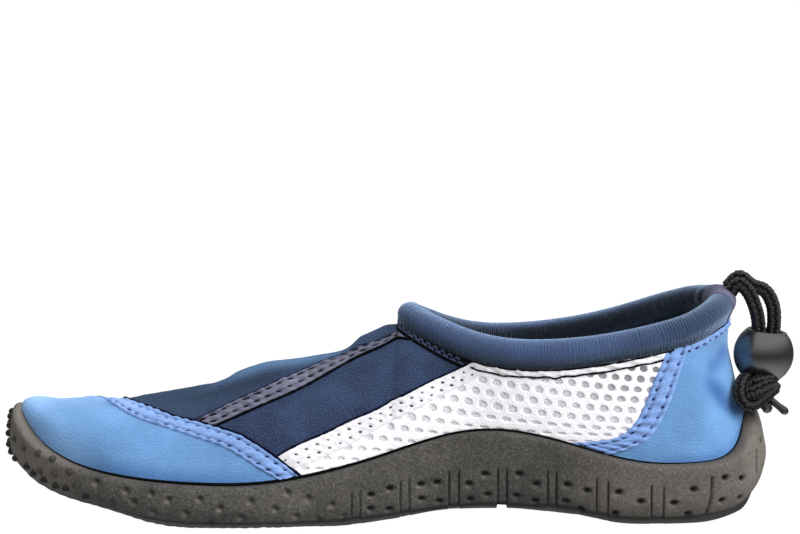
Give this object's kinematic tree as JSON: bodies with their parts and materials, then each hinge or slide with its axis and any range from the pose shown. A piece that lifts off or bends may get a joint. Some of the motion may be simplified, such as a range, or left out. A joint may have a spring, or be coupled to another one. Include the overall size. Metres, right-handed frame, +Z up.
{
  "type": "water shoe",
  "caption": "Low slip-on water shoe for the right foot: rubber cupsole with sipes, neoprene and air mesh upper, rolled collar, and a drawcord with a stopper bead at the heel.",
  "frame": {"origin": "on the floor, under the middle of the sole's outline", "axes": "-X towards the toe, +X towards the heel, -Y towards the inner side of the foot, +Y towards the outer side, +Z up"},
  "size_m": [0.2709, 0.0958, 0.0837],
  "materials": {
    "sole_rubber": "matte moulded rubber, warm dark grey",
    "neoprene": "knit-faced neoprene in navy and light blue, with white air mesh",
    "footbed": "black fabric-faced foam",
    "binding": "navy elastic knit, finely ribbed",
    "tab": "grey-mauve woven tape",
    "cord": "black braided polyester",
    "bead": "dark grey satin plastic"
  },
  "bodies": {
    "root": {"outsole": "sole_rubber", "upper": "neoprene", "insole": "footbed", "collar_binding": "binding", "heel_tab": "tab", "cord_strand_near": "cord", "cord_strand_far": "cord", "cord_bead": "bead", "cord_knot": "cord"}
  },
  "joints": []
}
